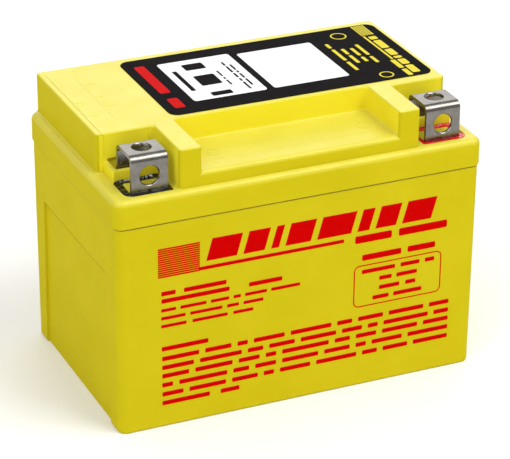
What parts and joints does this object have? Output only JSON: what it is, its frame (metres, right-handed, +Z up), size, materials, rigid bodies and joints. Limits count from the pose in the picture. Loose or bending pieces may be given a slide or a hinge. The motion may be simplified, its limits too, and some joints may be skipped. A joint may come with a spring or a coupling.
{
  "type": "motorcycle battery",
  "caption": "Sealed 12 V lithium motorcycle battery: drafted case, stepped lid, folded plate terminals in corner wells, cells, holders and protection board inside.",
  "frame": {"origin": "centre of the underside, on the surface that the battery stands on", "axes": "+X along the length towards the positive terminal, +Y from the printed front to the plain back, +Z up"},
  "size_m": [0.113, 0.07, 0.085],
  "materials": {
    "yellow_plastic": "satin moulded ABS",
    "label_film": "satin printed film",
    "print_red": "screen print ink",
    "print_white": "printed film",
    "print_yellow": "printed film",
    "tin_plate": "tin plated, drawn grain",
    "black_resin": "glossy cast epoxy",
    "red_resin": "glossy cast epoxy",
    "cell_sleeve": "shrink sleeve",
    "insulating_paper": "matt",
    "holder_plastic": "moulded",
    "nickel_strip": "rolled strip",
    "copper_bar": "bare copper",
    "circuit_board": "solder mask over glass laminate",
    "chip_package": "moulded epoxy",
    "resistor_ceramic": "matt",
    "connector_plastic": "moulded nylon",
    "steel_fixing": "zinc plated",
    "wire_insulation": "silicone",
    "foam": "closed-cell foam"
  },
  "bodies": {
    "root": {"case": "yellow_plastic", "lid": "yellow_plastic", "top_label": "label_film", "negative_terminal": "tin_plate", "positive_terminal": "tin_plate", "negative_seal": "black_resin", "positive_seal": "red_resin", "negative_joint_screw": "steel_fixing", "negative_joint_nut": "steel_fixing", "positive_joint_screw": "steel_fixing", "positive_joint_nut": "steel_fixing", "cell_1": "cell_sleeve", "cell_2": "cell_sleeve", "cell_3": "cell_sleeve", "cell_4": "cell_sleeve", "cell_ring_1": "insulating_paper", "cell_ring_2": "insulating_paper", "cell_ring_3": "insulating_paper", "cell_ring_4": "insulating_paper", "lower_cell_holder": "holder_plastic", "upper_cell_holder": "holder_plastic", "lower_link_left": "nickel_strip", "lower_link_right": "nickel_strip", "upper_link": "nickel_strip", "negative_cell_tab": "nickel_strip", "negative_bar": "copper_bar", "positive_bar": "copper_bar", "protection_board": "circuit_board", "board_screw_1": "steel_fixing", "board_screw_2": "steel_fixing", "board_screw_3": "steel_fixing", "board_screw_4": "steel_fixing", "mosfet_1": "chip_package", "mosfet_2": "chip_package", "mosfet_3": "chip_package", "mosfet_4": "chip_package", "controller_chip": "chip_package", "balance_resistor_1": "resistor_ceramic", "balance_resistor_2": "resistor_ceramic", "balance_resistor_3": "resistor_ceramic", "balance_resistor_4": "resistor_ceramic", "shunt": "copper_bar", "sense_connector": "connector_plastic", "sense_wire_1": "wire_insulation", "sense_wire_2": "wire_insulation", "sense_wire_3": "wire_insulation", "sense_wire_4": "wire_insulation", "bottom_pad": "foam", "front_pad": "foam", "rear_pad": "foam", "left_foam": "foam", "right_foam": "foam", "lid_pad": "foam"}
  },
  "joints": []
}
